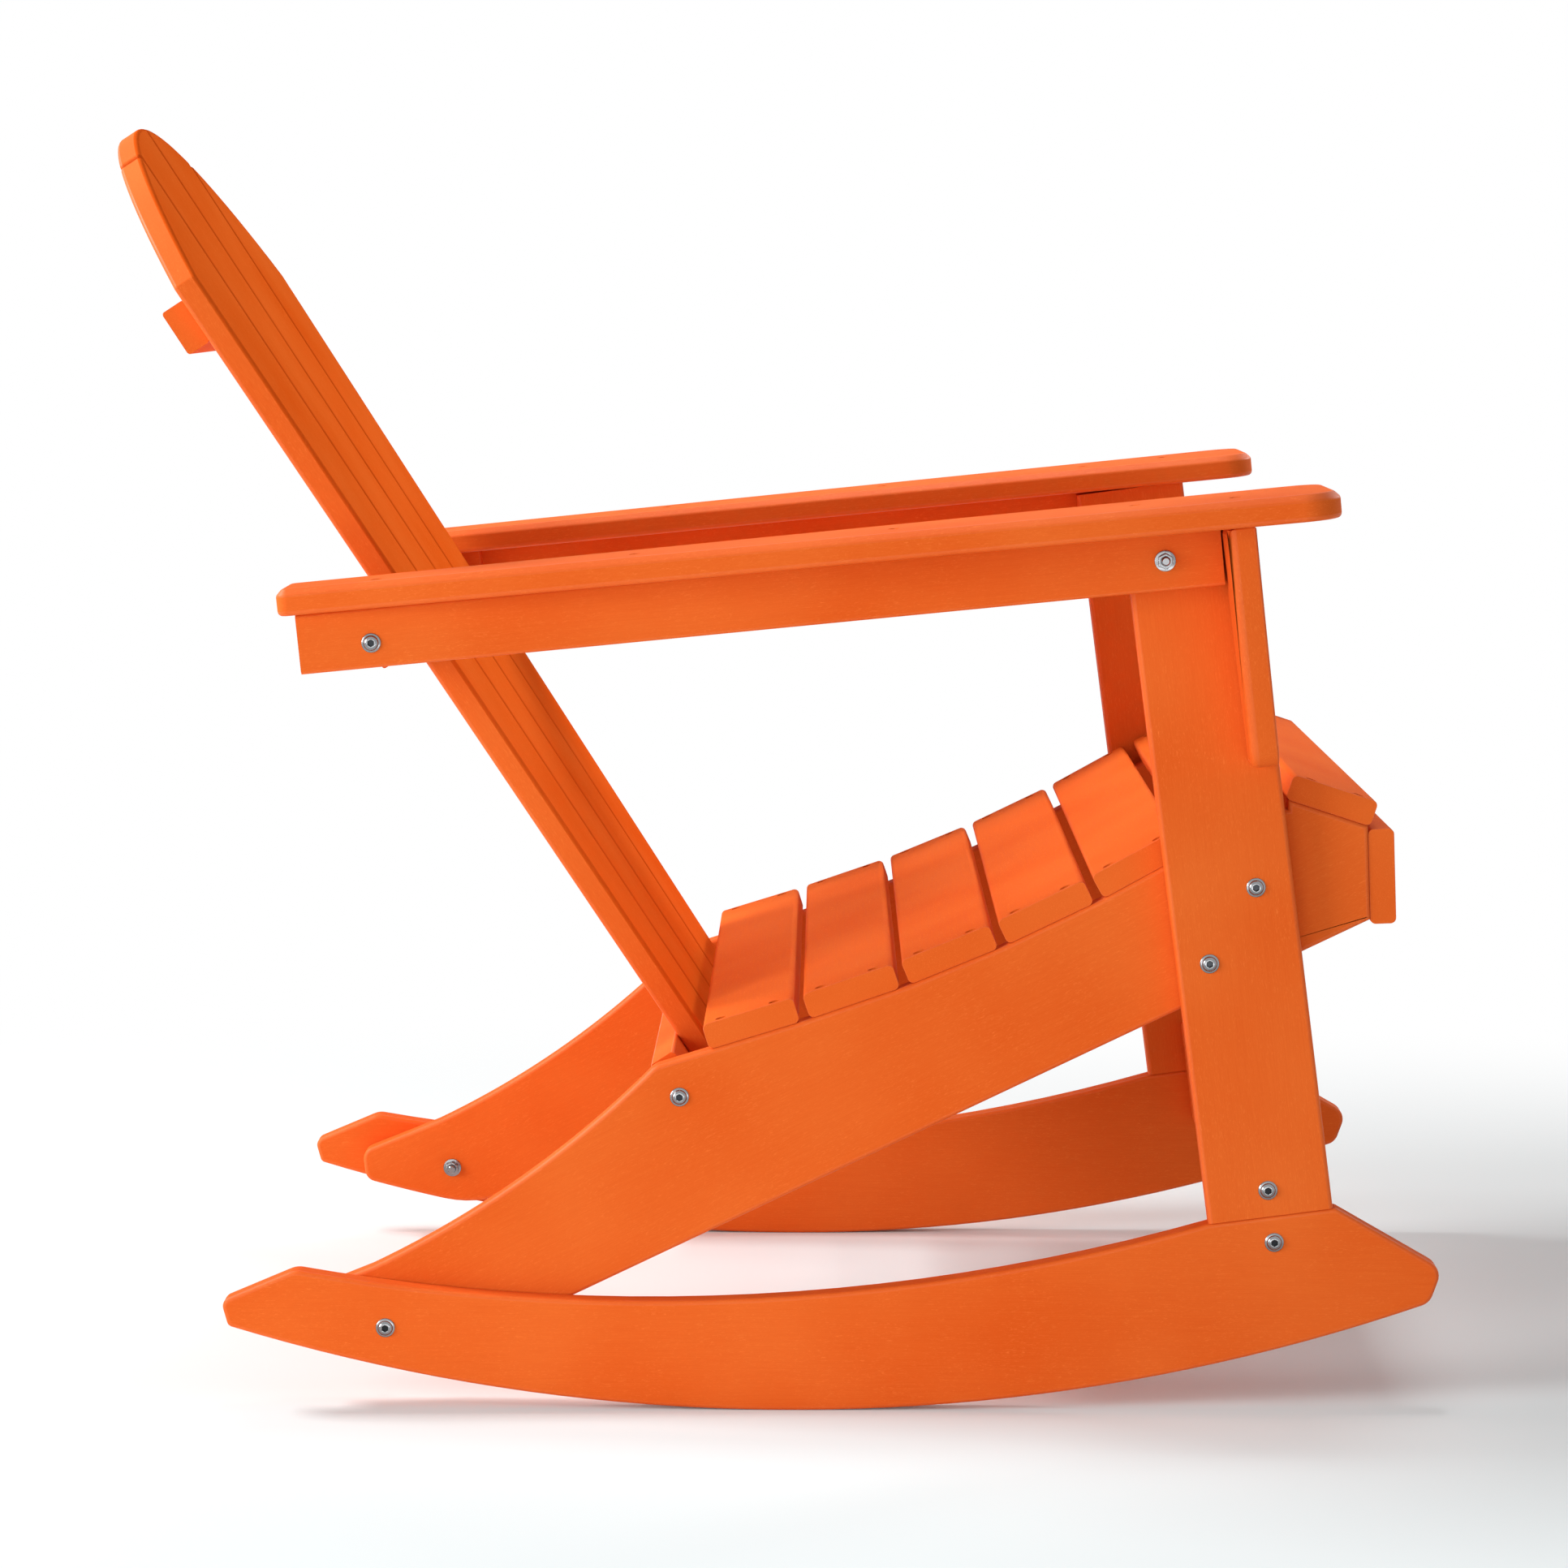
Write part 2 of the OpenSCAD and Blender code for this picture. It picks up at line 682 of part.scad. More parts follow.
module back_support_lower() {
    color(orange) difference() {
        back_support(low_support_top - low_support_h, low_support_h, rail_in, frame_t);
        insert_holes(low_bolt, rail_in);
    }
}

module back_support_middle() {
    color(orange) difference() {
        back_support(mid_support_low, support_h, leg_in, frame_t);
        insert_holes(mid_bolt, leg_in);
    }
}

module back_support_upper() {
    color(orange)
        back_support(top_support_low, top_support_h, back_half(top_support_low) - top_support_inset, slat_t);
}

// Arm: a plan outline that flares towards the front, u along the arm and x outwards
module arm(left) {
    outline = rounded([
        [0, arm_inner, arm_rear_r], [arm_len, arm_inner, arm_front_r],
        [arm_len, arm_inner + arm_front_w, arm_front_r], [0, arm_inner + arm_rear_w, arm_rear_r]]);
    color(orange) side(left) difference() {
        translate([0, f_mid - arm_pt(0, 0).x, arm_pt(0, 0).y])
            rotate([-arm_slope, 0, 0])
                rotate([0, 0, -90])
                    mirror([0, 1, 0])
                        linear_extrude(height = arm_t)
                            polygon(outline);
        arm_screws_at()
            screw_hole(screw_bore);
    }
}

support_slit = 1;

module arm_support(left) {
    end = support_front - support_slit;
    color(orange) side(left) difference() {
        plate(half_w, frame_t)
            polygon([arm_pt(support_set, 0), arm_pt(support_set, -support_h),
                arm_pt(end, -support_h), arm_pt(end, 0)]);
        bolt_hole(arm_bolt);
        bolt_hole(mid_bolt);
        arm_screws_at()
            screw_hole(screw_d);
    }
}

// Block that fills the space between the arm support and the middle back support
spacer_nose = 31;
spacer_front = arm_u(mid_bolt) + spacer_nose;
module arm_spacer(left) {
    color(orange) side(left) difference() {
        plate(leg_in, frame_t)
            polygon(rounded([
                with_r(arm_pt(spacer_front - spacer_len, -support_h), rail_end_r),
                with_r(arm_pt(spacer_front, -support_h), rail_end_r),
                with_r(arm_pt(spacer_front, -board_clear), rail_end_r),
                with_r(arm_pt(spacer_front - spacer_len, -board_clear), rail_end_r)]));
        bolt_hole(mid_bolt);
    }
}

// Bracket: stands out from the leg under the arm, drawn in the front view of the leg
bracket_r = 14;
bracket_top_r = 1;
module arm_bracket(left) {
    foot = leg_pt(bracket_front, leg_len - bracket_h);
    color(orange) side(left) difference() {
        translate([-half_w, f_mid - foot.x, foot.y])
            rotate([90 - leg_slant, 0, 0])
                mirror([1, 0, 0])
                    translate([0, 0, -frame_t])
                        linear_extrude(height = frame_t)
                            polygon(rounded([[0, 0, 0], [bracket_low_w, 0, bracket_r],
                                [bracket_top_w, bracket_h, bracket_top_r], [0, bracket_h, 0]]));
        arm_screws_at()
            screw_hole(screw_d);
        bracket_screws_at()
            screw_hole(screw_d);
    }
}

// Fastener groups

stack = 2 * frame_t;
nut_bolt_len = stack + washer_t + nut_h + bolt_tail;

module both_sides() {
    for (left = [false, true])
        side(left)
            children();
}

module rocker_bolts() {
    color(steel) both_sides()
        inwards(rear_bolt, half_w)
            bolt(nut_bolt_len);
}

module leg_rail_bolts() {
    color(steel) both_sides()
        for (p = leg_bolts)
            inwards(p, half_w)
                bolt(nut_bolt_len);
}

module leg_splice_bolts() {
    color(steel) both_sides()
        for (p = splice_bolts)
            inwards(p, half_w)
                bolt(nut_bolt_len);
}

module lower_support_bolts() {
    color(steel) both_sides()
        inwards(low_bolt, leg_in)
            bolt(frame_t + insert_grip);
}

module rear_arm_bolts() {
    color(steel) both_sides()
        inwards(mid_bolt, support_out)
            bolt(stack + insert_grip);
}

// The front arm bolts point outwards, with the nut on the face of the arm support
module outwards(p, x) {
    translate([-x, f_mid - p.x, p.y])
        rotate([0, -90, 0])
            children();
}

module front_arm_bolts() {
    color(steel) both_sides()
        outwards(arm_bolt, leg_in)
            bolt(nut_bolt_len);
}

module inner_nut_places() {
    both_sides()
        for (p = concat([rear_bolt], leg_bolts, splice_bolts))
            inwards(p, rail_in)
                children();
}

module frame_washers() {
    color(steel) {
        inner_nut_places()
            washer();
        both_sides()
            outwards(arm_bolt, support_out)
                washer();
    }
}

module frame_nuts() {
    color(steel) {
        inner_nut_places()
            translate([0, 0, washer_t])
                nut();
        both_sides()
            outwards(arm_bolt, support_out + washer_t)
                nut();
    }
}

module support_inserts() {
    color(steel) both_sides() {
        inwards(low_bolt, rail_in)
            insert();
        inwards(mid_bolt, leg_in)
            insert();
    }
}

module seat_screws() {
    color(steel)
        for (k = [0:nosing])
            seat_screws_at(k, both_ends)
                screw();
}

module apron_screws() {
    color(steel)
        apron_screws_at(both_ends)
            screw();
}

module back_screws() {
    color(steel) back_frame(0)
        for (row = back_rows)
            back_screws_at(row[0], row[1], all_slats)
                screw();
}

module arm_screws() {
    color(steel) both_sides()
        arm_screws_at()
            screw();
}

module bracket_screws() {
    color(steel) both_sides()
        bracket_screws_at()
            screw();
}

rocker(false);  // rocker_right
rocker(true);  // rocker_left
front_leg(false);  // front_leg_right
front_leg(true);  // front_leg_left
leg_splice(false);  // leg_splice_right
leg_splice(true);  // leg_splice_left
side_rail(false);  // side_rail_right
side_rail(true);  // side_rail_left
seat_slat(0);  // seat_slat_1
seat_slat(1);  // seat_slat_2
seat_slat(2);  // seat_slat_3
seat_slat(3);  // seat_slat_4
seat_slat(4);  // seat_slat_5
seat_slat(5);  // seat_slat_6
seat_slat(6);  // seat_slat_7
front_apron();
back_slat(0);  // back_slat_1
back_slat(1);  // back_slat_2
back_slat(2);  // back_slat_3
back_slat(3);  // back_slat_4
back_support_lower();
back_support_middle();
back_support_upper();
arm(false);  // arm_right
arm(true);  // arm_left
arm_support(false);  // arm_support_right
arm_support(true);  // arm_support_left
arm_spacer(false);  // arm_spacer_right
arm_spacer(true);  // arm_spacer_left
arm_bracket(false);  // arm_bracket_right
arm_bracket(true);  // arm_bracket_left
rocker_bolts();
leg_rail_bolts();
leg_splice_bolts();
lower_support_bolts();
rear_arm_bolts();
front_arm_bolts();
frame_washers();
frame_nuts();
support_inserts();
seat_screws();
apron_screws();
back_screws();
arm_screws();
bracket_screws();
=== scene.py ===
"""Rocking adirondack chair in orange poly lumber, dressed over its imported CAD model."""

import math

import bmesh
import bpy
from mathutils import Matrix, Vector


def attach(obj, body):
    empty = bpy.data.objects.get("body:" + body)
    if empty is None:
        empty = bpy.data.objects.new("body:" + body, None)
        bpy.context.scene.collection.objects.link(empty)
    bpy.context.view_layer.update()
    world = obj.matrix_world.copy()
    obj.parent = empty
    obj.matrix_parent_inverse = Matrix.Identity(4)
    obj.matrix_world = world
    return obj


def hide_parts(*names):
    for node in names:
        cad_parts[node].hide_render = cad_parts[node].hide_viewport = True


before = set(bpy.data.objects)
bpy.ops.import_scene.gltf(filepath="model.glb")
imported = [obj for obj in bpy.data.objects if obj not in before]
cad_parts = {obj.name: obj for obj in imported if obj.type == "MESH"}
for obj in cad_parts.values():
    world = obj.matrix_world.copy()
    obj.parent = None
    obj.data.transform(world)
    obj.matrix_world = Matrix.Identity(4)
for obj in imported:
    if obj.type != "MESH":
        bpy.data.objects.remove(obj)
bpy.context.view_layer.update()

MM = 0.001


# Camera at the photograph's view

LENS_MM = 104.72
CAMERA_AT = Vector((-3.5106, -0.0489, 0.8088))
CAMERA_PITCH = math.radians(6.376)
CAMERA_YAW = math.radians(-0.528)


def add_camera():
    data = bpy.data.cameras.new("photo_camera")
    data.lens = LENS_MM
    data.sensor_width = 36.0
    data.clip_end = 60.0
    camera = bpy.data.objects.new("photo_camera", data)
    bpy.context.scene.collection.objects.link(camera)
    level = math.cos(CAMERA_PITCH)
    look = Vector(
        (
            level * math.cos(CAMERA_YAW),
            -level * math.sin(CAMERA_YAW),
            -math.sin(CAMERA_PITCH),
        )
    )
    camera.location = CAMERA_AT
    camera.rotation_euler = look.to_track_quat("-Z", "Y").to_euler()
    bpy.context.scene.camera = camera


# Colours and nodes


def srgb(code, alpha=1.0):
    """A hex colour as linear values."""
    out = []
    for at in (1, 3, 5):
        value = int(code[at : at + 2], 16) / 255
        out.append(value / 12.92 if value <= 0.04045 else ((value + 0.055) / 1.055) ** 2.4)
    return (*out, alpha)


def add(tree, kind, settings=None, inputs=None, links=None):
    """Adds a node, sets its properties and sockets, and links sockets from (node, output) pairs."""
    node = tree.nodes.new(kind)
    for name, value in (settings or {}).items():
        setattr(node, name, value)
    for name, value in (inputs or {}).items():
        node.inputs[name].default_value = value
    for name, (source, output) in (links or {}).items():
        tree.links.new(source.outputs[output], node.inputs[name])
    return node


def new_material(name):
    material = bpy.data.materials.new(name)
    material.use_nodes = True
    material.node_tree.nodes.clear()
    return material, material.node_tree


def two_stops(node, low, high, low_colour, high_colour):
    """Sets a ramp that goes from one colour to the other between two places."""
    ramp = node.color_ramp
    ramp.elements[0].position = low
    ramp.elements[1].position = high
    ramp.elements[0].color = low_colour
    ramp.elements[1].color = high_colour


BLACK = (0.0, 0.0, 0.0, 1.0)
WHITE = (1.0, 1.0, 1.0, 1.0)

ORANGE_DEEP = "#DF5712"
ORANGE_LIGHT = "#EA6D28"
ORANGE_FLECK = "#F37C36"
# Painted shade: a deeper orange for the seams between the back slats.
ORANGE_PAINTED_SEAM_SHADE = "#C4440A"


# Finish of a board's faces: roughness from and to, specular level, share of the painted seam
# shade's orange.
FINISHES = {
    "skin": (0.72, 0.82, 0.12, 0.0),  # brushed by the extruder
    "routed": (0.48, 0.52, 0.24, 0.0),  # left smoother by the router
    "seat_matt": (0.74, 0.84, 0.06, 0.0),  # the photo shows the seat's tops duller
    "back_matt": (0.74, 0.84, 0.0, 0.0),  # and the back's front duller still
    # Painted shade: a deeper orange on the roundovers of the back slats' front faces, in place of
    # the shade in the seams between them.
    "painted_seam_shade": (0.74, 0.84, 0.0, 0.5),  # a deeper orange for the dark seams between back slats
}


def poly_lumber(grain, slope, finish):
    """Extruded HDPE board: a satin skin with short pale flecks, drawn out along the board by the
    die, and a fine brushed grain. The slope is the board's direction in degrees up from the front,
    or None for a board that runs across the chair."""
    smooth, coarse, gloss, painted_seam_shade = FINISHES[finish]
    material, tree = new_material("hdpe_lumber_%s_%s" % (grain, finish))
    turn = (0.0, 0.0, 0.0) if slope is None else (0.0, -math.radians(slope), -math.pi / 2)
    place = add(tree, "ShaderNodeTexCoord")
    # Flecks are about 4 mm long and under 1 mm wide.
    fleck_space = add(
        tree, "ShaderNodeMapping", {"vector_type": "TEXTURE"},
        {"Rotation": turn, "Scale": (4.2 * MM, 0.8 * MM, 0.8 * MM)},
        {"Vector": (place, "Object")},
    )
    fleck = add(
        tree, "ShaderNodeTexNoise", {"noise_dimensions": "3D"},
        {"Scale": 1.0, "Detail": 2.0, "Roughness": 0.55, "Distortion": 1.2},
        {"Vector": (fleck_space, "Vector")},
    )
    fleck_mask = add(tree, "ShaderNodeValToRGB", links={"Fac": (fleck, "Fac")})
    two_stops(fleck_mask, 0.56, 0.76, BLACK, WHITE)
    # Flecks lie in patches a few centimetres across.
    patch = add(
        tree, "ShaderNodeTexNoise", {"noise_dimensions": "3D"},
        {"Scale": 1 / (38 * MM), "Detail": 2.0, "Roughness": 0.5},
        {"Vector": (place, "Object")},
    )
    patch_amount = add(
        tree, "ShaderNodeMapRange", None,
        {"From Min": 0.35, "From Max": 0.65, "To Min": 0.35, "To Max": 0.8},
        {"Value": (patch, "Fac")},
    )
    fleck_amount = add(
        tree, "ShaderNodeMath", {"operation": "MULTIPLY"}, None,
        {0: (fleck_mask, "Color"), 1: (patch_amount, "Result")},
    )
    # Brushed grain: long lines, half a millimetre apart.
    line_space = add(
        tree, "ShaderNodeMapping", {"vector_type": "TEXTURE"},
        {"Rotation": turn, "Scale": (42 * MM, 0.8 * MM, 0.8 * MM)},
        {"Vector": (place, "Object")},
    )
    lines = add(
        tree, "ShaderNodeTexNoise", {"noise_dimensions": "3D"},
        {"Scale": 1.0, "Detail": 3.0, "Roughness": 0.6, "Distortion": 0.4},
        {"Vector": (line_space, "Vector")},
    )
    # Slow clouds of pigment, a hand wide.
    cloud = add(
        tree, "ShaderNodeTexNoise", {"noise_dimensions": "3D"},
        {"Scale": 1 / (110 * MM), "Detail": 1.0, "Roughness": 0.5},
        {"Vector": (place, "Object")},
    )
    shade = add(
        tree, "ShaderNodeMix", {"data_type": "FLOAT"}, {"Factor": 0.6},
        {2: (lines, "Fac"), 3: (cloud, "Fac")},
    )
    body = add(tree, "ShaderNodeValToRGB", links={"Fac": (shade, "Result")})
    two_stops(body, 0.25, 0.75, srgb(ORANGE_DEEP), srgb(ORANGE_LIGHT))
    colour = add(
        tree, "ShaderNodeMix", {"data_type": "RGBA"}, {7: srgb(ORANGE_FLECK)},
        {0: (fleck_amount, "Value"), 6: (body, "Color")},
    )
    shown = add(
        # Painted shade: the back slats' seam roundovers mix in a deeper orange in place of the
        # shade between the slats.
        tree, "ShaderNodeMix", {"data_type": "RGBA"}, {0: painted_seam_shade, 7: srgb(ORANGE_PAINTED_SEAM_SHADE)},
        {6: (colour, "Result")},
    )
    height = add(
        tree, "ShaderNodeMath", {"operation": "MULTIPLY_ADD"}, {1: 0.5},
        {0: (fleck_amount, "Value"), 2: (lines, "Fac")},
    )
    bump = add(
        tree, "ShaderNodeBump", None, {"Strength": 0.12, "Distance": 0.25 * MM},
        {"Height": (height, "Value")},
    )
    rough = add(
        tree, "ShaderNodeMapRange", None,
        {"From Min": 0.3, "From Max": 0.7, "To Min": smooth, "To Max": coarse},
        {"Value": (lines, "Fac")},
    )
    shader = add(
        tree, "ShaderNodeBsdfPrincipled", None, {"IOR": 1.5, "Specular IOR Level": gloss},
        {
            "Base Color": (shown, "Result"),
            "Roughness": (rough, "Result"),
            "Normal": (bump, "Normal"),
        },
    )
    add(tree, "ShaderNodeOutputMaterial", links={"Surface": (shader, "BSDF")})
    return material


def stainless_steel(name):
    """Cold-headed stainless fasteners: grey, with faint turning marks and a soft gloss."""
    material, tree = new_material(name)
    place = add(tree, "ShaderNodeTexCoord")
    # Marks are drawn a little coarser than the real 0.1 mm so that they show.
    marks = add(
        tree, "ShaderNodeTexNoise", {"noise_dimensions": "3D"},
        {"Scale": 1 / (0.6 * MM), "Detail": 3.0, "Roughness": 0.6},
        {"Vector": (place, "Object")},
    )
    tone = add(tree, "ShaderNodeValToRGB", links={"Fac": (marks, "Fac")})
    two_stops(tone, 0.3, 0.7, srgb("#85878A"), srgb("#97989A"))
    # Painted shade: the sockets and the flanks of the nuts are darkened towards a near black grey,
    # in place of the shade that falls in them.
    painted_shade = add(tree, "ShaderNodeAttribute", {"attribute_name": "painted_shade"})
    shown = add(
        tree, "ShaderNodeMix", {"data_type": "RGBA"}, {7: srgb("#2E3033")},
        {0: (painted_shade, "Fac"), 6: (tone, "Color")},
    )
    rough = add(
        tree, "ShaderNodeMapRange", None,
        {"From Min": 0.3, "From Max": 0.7, "To Min": 0.14, "To Max": 0.24},
        {"Value": (marks, "Fac")},
    )
    bump = add(
        tree, "ShaderNodeBump", None, {"Strength": 0.04, "Distance": 0.05 * MM},
        {"Height": (marks, "Fac")},
    )
    shader = add(
        tree, "ShaderNodeBsdfPrincipled", None, {"Metallic": 1.0},
        {
            "Base Color": (shown, "Result"),
            "Roughness": (rough, "Result"),
            "Normal": (bump, "Normal"),
        },
    )
    add(tree, "ShaderNodeOutputMaterial", links={"Surface": (shader, "BSDF")})
    return material


def turned_brass(name):
    """Free-turning brass of the threaded inserts: warm yellow with a fine lathe grain."""
    material, tree = new_material(name)
    place = add(tree, "ShaderNodeTexCoord")
    lathe = add(
        tree, "ShaderNodeTexWave", {"bands_direction": "X"},
        {"Scale": 1 / (1.2 * MM) / 6.28, "Distortion": 0.5, "Detail": 1.0},
        {"Vector": (place, "Object")},
    )
    tone = add(tree, "ShaderNodeValToRGB", links={"Fac": (lathe, "Fac")})
    two_stops(tone, 0.2, 0.8, srgb("#B8975A"), srgb("#D3B273"))
    bump = add(
        tree, "ShaderNodeBump", None, {"Strength": 0.2, "Distance": 0.1 * MM},
        {"Height": (lathe, "Fac")},
    )
    shader = add(
        tree, "ShaderNodeBsdfPrincipled", None, {"Metallic": 1.0, "Roughness": 0.32},
        {"Base Color": (tone, "Color"), "Normal": (bump, "Normal")},
    )
    add(tree, "ShaderNodeOutputMaterial", links={"Surface": (shader, "BSDF")})
    return material


# Boards

# Directions of the boards in the side view, in degrees up from the front.
ARM_SLOPE, RAIL_SLOPE, LEG_SLOPE, BACK_SLOPE = 5.6, 25.8, 97.5, 123.0

# Each grain's direction, and the finishes of the faces in the order of the slots below.
GRAINS = {
    "across": (None, ("skin", "routed", "seat_matt")),
    "rocker": (0.0, ("skin", "routed")),
    "arm": (ARM_SLOPE, ("skin", "routed")),
    "rail": (RAIL_SLOPE, ("skin", "routed")),
    "leg": (LEG_SLOPE, ("skin", "routed")),
    "back": (BACK_SLOPE, ("skin", "routed", "back_matt", "painted_seam_shade")),
}
SKIN, ROUTED, MATT, PAINTED_SEAM_SHADE = range(4)
LUMBER = {
    grain: [poly_lumber(grain, slope, finish) for finish in finishes]
    for grain, (slope, finishes) in GRAINS.items()
}


WELD = 0.002 * MM  # corners closer than this are one
FLAT = math.radians(0.25)  # faces that turn by less than this are one
SHARP = math.radians(28)  # edges that turn by more than this are rounded over
OUTLINE_REACH = 15 * MM  # sharp edges that hang together over less than this belong to holes


def cad_copy(node):
    """A CAD piece's shape as a bmesh, with its corners welded."""
    bm = bmesh.new()
    bm.from_mesh(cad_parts[node].data)
    bmesh.ops.remove_doubles(bm, verts=bm.verts, dist=WELD)
    return bm


def join_flat_faces(bm):
    bmesh.ops.dissolve_limit(bm, angle_limit=FLAT, verts=bm.verts, edges=bm.edges)


def turns_sharply(edge):
    return edge.is_manifold and edge.calc_face_angle(0.0) > SHARP


def round_over(bm, edges, radius, steps, keep_apart=False):
    return bmesh.ops.bevel(
        bm, geom=edges, offset=radius * MM, offset_type="OFFSET", segments=steps,
        profile=0.5, affect="EDGES", clamp_overlap=keep_apart, material=-1,
    )


def finish_piece(bm, node, suffix, smooth_to, materials):
    """Turns a bmesh into a piece that takes a CAD node's place; smooth_to is in degrees."""
    mesh = bpy.data.meshes.new(node + suffix)
    bm.to_mesh(mesh)
    bm.free()
    mesh.shade_smooth()
    mesh.set_sharp_from_angle(angle=math.radians(smooth_to))
    for material in materials:
        mesh.materials.append(material)
    piece = bpy.data.objects.new(node + suffix, mesh)
    bpy.context.scene.collection.objects.link(piece)
    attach(piece, "root")
    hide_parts(node)
    return piece


def edge_groups(edges):
    """Splits edges into groups that hang together, in the order in which the edges come."""
    edges = list(edges)
    waiting = set(edges)
    groups = []
    for first in edges:
        if first not in waiting:
            continue
        waiting.discard(first)
        group, front = [], [first]
        while front:
            edge = front.pop()
            group.append(edge)
            for corner in edge.verts:
                for other in corner.link_edges:
                    if other in waiting:
                        waiting.discard(other)
                        front.append(other)
        groups.append(group)
    return groups


def reach(edges):
    """The longest side of the box round some edges."""
    spots = [corner.co for edge in edges for corner in edge.verts]
    return max(max(s[i] for s in spots) - min(s[i] for s in spots) for i in range(3))


def plug_pilot_holes(bm, across):
    """Closes blind holes, which the boards behind cover, so that the faces round over cleanly."""
    depths = [corner.co.dot(across) for corner in bm.verts]
    low, high = min(depths) + 0.1 * MM, max(depths) - 0.1 * MM
    inside = [corner for corner in bm.verts if low < corner.co.dot(across) < high]
    bmesh.ops.delete(bm, geom=inside, context="VERTS")
    bmesh.ops.holes_fill(bm, edges=[edge for edge in bm.edges if edge.is_boundary], sides=0)
    join_flat_faces(bm)


REAR_STEPS = 6  # segments of the roundover on a shaped board's rear face
CHAMFER_EASE = 1.1  # mm
BOARD_SMOOTH, STEEL_SMOOTH = 32, 38  # degrees up to which faces are shaded as one


def milled_board(
    node, grain, long_r, end_r, run=None, across=None, rear_r=None, matt=None, chamfer=False,
):
    """A board cut from its CAD shape, with the router's roundover on its edges.

    Edges along the run get long_r and the cut ends get end_r. A shaped board gives across instead,
    the direction through its thickness: every edge of its two faces gets long_r, or rear_r on the
    face that across points out of. Faces that look along matt have the matt finish, and the
    roundovers beside them on a shaped board get a deeper orange, painted shade for the seams.
    A chamfer takes the place of the rear_r roundover, with eased corners. The faces' finishes go
    by GRAINS.
    """
    bm = cad_copy(node)
    join_flat_faces(bm)
    if matt is not None and across is not None:
        plug_pilot_holes(bm, across)
    bm.normal_update()
    sharp = [edge for edge in bm.edges if turns_sharply(edge)]
    outer = [e for group in edge_groups(sharp) if reach(group) > OUTLINE_REACH for e in group]
    for face in bm.faces:
        face.material_index = MATT if matt and face.normal.dot(matt) > 0.6 else SKIN
    long_edges, end_edges, rear_edges = [], [], []
    if rear_r:
        depths = [corner.co.dot(across) for corner in bm.verts]
        centre = (min(depths) + max(depths)) / 2
    for edge in outer:
        way = (edge.verts[1].co - edge.verts[0].co).normalized()
        if across is not None:
            if abs(way.dot(across)) < 0.5:
                rear = rear_r and edge.verts[0].co.dot(across) > centre
                (rear_edges if rear else long_edges).append(edge)
        elif abs(way.dot(run)) > 0.95:
            long_edges.append(edge)
        else:
            end_edges.append(edge)
    rear_steps = 1 if chamfer else REAR_STEPS
    cuts = ((rear_edges, rear_r, rear_steps), (long_edges, long_r, 4), (end_edges, end_r, 2))
    for edges, radius, steps in cuts:
        edges = [edge for edge in edges if edge.is_valid]
        if edges and radius:
            cut = round_over(bm, edges, radius, steps)
            # The roundovers on a back slat's front face carry the painted seam shade.
            inner = matt is not None and across is not None and steps == REAR_STEPS
            for face in cut["faces"]:
                face.material_index = PAINTED_SEAM_SHADE if inner else ROUTED
            if steps == 1:
                corners = [edge for edge in cut["edges"] if turns_sharply(edge)]
                eased = round_over(bm, corners, CHAMFER_EASE, 2)
                for face in eased["faces"]:
                    face.material_index = ROUTED
    board = finish_piece(bm, node, "_board", BOARD_SMOOTH, LUMBER[grain])
    flat = board.modifiers.new("flat_faces", "WEIGHTED_NORMAL")
    flat.keep_sharp = True
    flat.weight = 100


def slope_run(degrees):
    """The direction of a board that rises towards the front by these degrees."""
    angle = math.radians(degrees)
    return Vector((0.0, -math.cos(angle), math.sin(angle)))


SIDEWAYS = Vector((1.0, 0.0, 0.0))
UP = Vector((0.0, 0.0, 1.0))
LEG_RUN = slope_run(LEG_SLOPE)
ARM_RUN = slope_run(ARM_SLOPE)
BACK_OUT = slope_run(BACK_SLOPE - 90.0)
ARM_UP = slope_run(ARM_SLOPE + 90.0)

for side in ("right", "left"):
    milled_board("rocker_" + side, "rocker", 3.0, 0.0, across=SIDEWAYS)
    milled_board("side_rail_" + side, "rail", 3.0, 0.0, across=SIDEWAYS)
    milled_board("front_leg_" + side, "leg", 3.0, 0.5, run=LEG_RUN)
    milled_board("leg_splice_" + side, "leg", 1.5, 0.5, across=SIDEWAYS)
    milled_board("arm_" + side, "arm", 3.5, 0.0, across=ARM_UP, rear_r=4.5, chamfer=True)
    milled_board("arm_support_" + side, "arm", 2.0, 0.5, run=ARM_RUN)
    milled_board("arm_spacer_" + side, "arm", 1.0, 0.0, across=SIDEWAYS)
    milled_board("arm_bracket_" + side, "leg", 2.0, 0.0, across=LEG_RUN.cross(SIDEWAYS), rear_r=6.0)
for number in range(1, 8):
    milled_board("seat_slat_%d" % number, "across", 0.0, 0.5, run=SIDEWAYS, matt=UP)
milled_board("front_apron", "across", 0.0, 0.5, run=SIDEWAYS)
for number in range(1, 5):
    milled_board(
        "back_slat_%d" % number, "back", 3.0, 0.0, across=BACK_OUT, rear_r=3.0, matt=BACK_OUT,
    )
for level in ("lower", "middle", "upper"):
    milled_board("back_support_" + level, "across", 2.0, 0.5, run=SIDEWAYS)

# Fasteners

STEEL = stainless_steel("stainless_steel")
BRASS = turned_brass("turned_brass")

# The lathe profile of a flanged button head: distance out from the board and radius, in mm.
HEAD = (
    (0.0, 3.0), (0.0, 6.6), (0.15, 6.8), (0.7, 6.8), (0.95, 6.6), (1.15, 6.1), (1.3, 5.45),
    (1.75, 5.3), (2.3, 4.95), (2.8, 4.4), (3.15, 3.75), (3.35, 3.2), (3.4, 2.85),
)
SOCKET_AF = 4.0  # mm between the flats


def finish_steel(bm, node, suffix):
    bmesh.ops.recalc_face_normals(bm, faces=bm.faces)
    finish_piece(bm, node, suffix, STEEL_SMOOTH, [STEEL])


